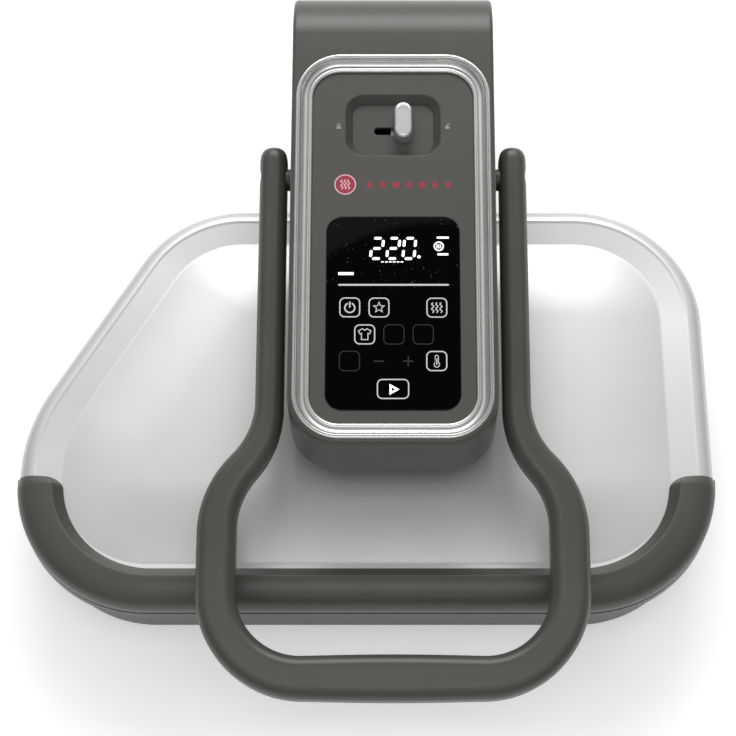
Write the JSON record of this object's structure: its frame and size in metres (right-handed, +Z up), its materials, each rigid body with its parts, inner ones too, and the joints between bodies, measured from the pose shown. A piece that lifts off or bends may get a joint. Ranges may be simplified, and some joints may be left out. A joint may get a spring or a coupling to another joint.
{
  "type": "heat press",
  "caption": "Clamshell steam and heat press with padded board, hinged head, heated plate and pull-down handle.",
  "frame": {"origin": "on the surface the press stands on, under the middle of its overall box", "axes": "+X along the plate towards its square end, +Y from the handle towards the hinge, +Z up"},
  "size_m": [0.512, 0.5344, 0.2164],
  "materials": {
    "charcoal_abs": "fine moulded grain, satin",
    "handle_abs": "satin moulded",
    "soft_grip": "soft matt",
    "dark_caps": "fine moulded grain",
    "galvanised_steel": "pressed sheet, zinc plated",
    "ground_steel": "ground",
    "zinc_steel": "zinc plated",
    "pad_foam": "open-cell foam",
    "pad_cloth": "aluminised cotton",
    "rubber": "matt",
    "bronze": "sintered",
    "satin_chrome": "satin chrome plate",
    "lever_silver": "satin",
    "black_glass": "gloss, backed in black",
    "circuit_board": "solder resist",
    "tank_plastic": "clear moulding",
    "pump_plastic": "moulded",
    "silicone_hose": "translucent silicone",
    "wire_sleeve": "braided sleeve",
    "gloss_white": "gloss",
    "cast_aluminium": "cast, ground face",
    "element_steel": "heat-tinted tube",
    "mineral_mat": "needled mat"
  },
  "bodies": {
    "base": {"base_tray": "charcoal_abs", "base_board": "galvanised_steel", "foam_pad": "pad_foam", "pad_cover": "pad_cloth", "foot_front_left": "rubber", "foot_front_right": "rubber", "foot_side_left": "rubber", "foot_side_right": "rubber", "foot_heel_left": "rubber", "foot_heel_right": "rubber", "hinge_block": "charcoal_abs", "hinge_bushes": "bronze", "torsion_springs": "zinc_steel", "base_screws": "zinc_steel"},
    "head": {"arm_plate_left": "galvanised_steel", "arm_plate_right": "galvanised_steel", "arm_spacers": "galvanised_steel", "hinge_shaft": "ground_steel", "hinge_caps": "dark_caps", "housing": "charcoal_abs", "underside_cover": "charcoal_abs", "deck_fascia": "charcoal_abs", "deck_trim": "satin_chrome", "panel_glass": "black_glass", "control_board": "circuit_board", "power_board": "circuit_board", "water_tank": "tank_plastic", "water_pump": "pump_plastic", "water_hose": "silicone_hose", "wiring_loom": "wire_sleeve", "guide_plate": "galvanised_steel", "guide_bushes": "bronze", "shaft_bushes": "bronze", "cord_gland": "rubber", "housing_screws": "zinc_steel"},
    "handle": {"handle_upper_shell": "handle_abs", "handle_lower_shell": "handle_abs", "grip_pads": "soft_grip", "handle_shaft": "ground_steel", "cam_left": "ground_steel", "cam_right": "ground_steel", "lock_dog": "ground_steel"},
    "platen": {"platen_cover": "gloss_white", "front_guard": "charcoal_abs", "soleplate": "cast_aluminium", "heating_element": "element_steel", "insulation_mat": "mineral_mat", "steam_chamber": "cast_aluminium", "thermostat": "pump_plastic", "thermal_fuse": "cast_aluminium", "platen_bridge": "galvanised_steel", "guide_posts": "ground_steel", "crosshead": "galvanised_steel", "plate_collar": "charcoal_abs", "return_springs": "zinc_steel", "steam_hose": "silicone_hose"},
    "lock": {"lock_lever": "lever_silver", "lock_tongue": "ground_steel"},
    "cap": {"tank_cap": "dark_caps"}
  },
  "joints": [
    {"name": "head_hinge", "type": "hinge", "parent": "base", "child": "head", "pos_m": [0.0195, 0.20976, 0.057], "axis": [-1, 0, 0], "range_deg": [0, 50], "deforming": ["torsion_springs"]},
    {"name": "handle_pivot", "type": "hinge", "parent": "head", "child": "handle", "pos_m": [0.0195, 0.10926, 0.17], "axis": [-1, 0, 0], "range_deg": [0, 40]},
    {"name": "platen_lift", "type": "slide", "parent": "head", "child": "platen", "axis": [0, 0, 1], "range_m": [0, 0.005], "deforming": ["return_springs", "steam_hose"]},
    {"name": "lock_slide", "type": "slide", "parent": "head", "child": "lock", "axis": [-1, 0, 0], "range_m": [0, 0.015]},
    {"name": "cap_turn", "type": "hinge", "parent": "head", "child": "cap", "pos_m": [0.0015, 0.25776, 0.1405], "axis": [0, 1, 0], "range_deg": [0, 90]}
  ],
  "couplings": [
    {"joint": "platen_lift", "follows": "handle_pivot", "m_per_rad": 0.007162}
  ]
}
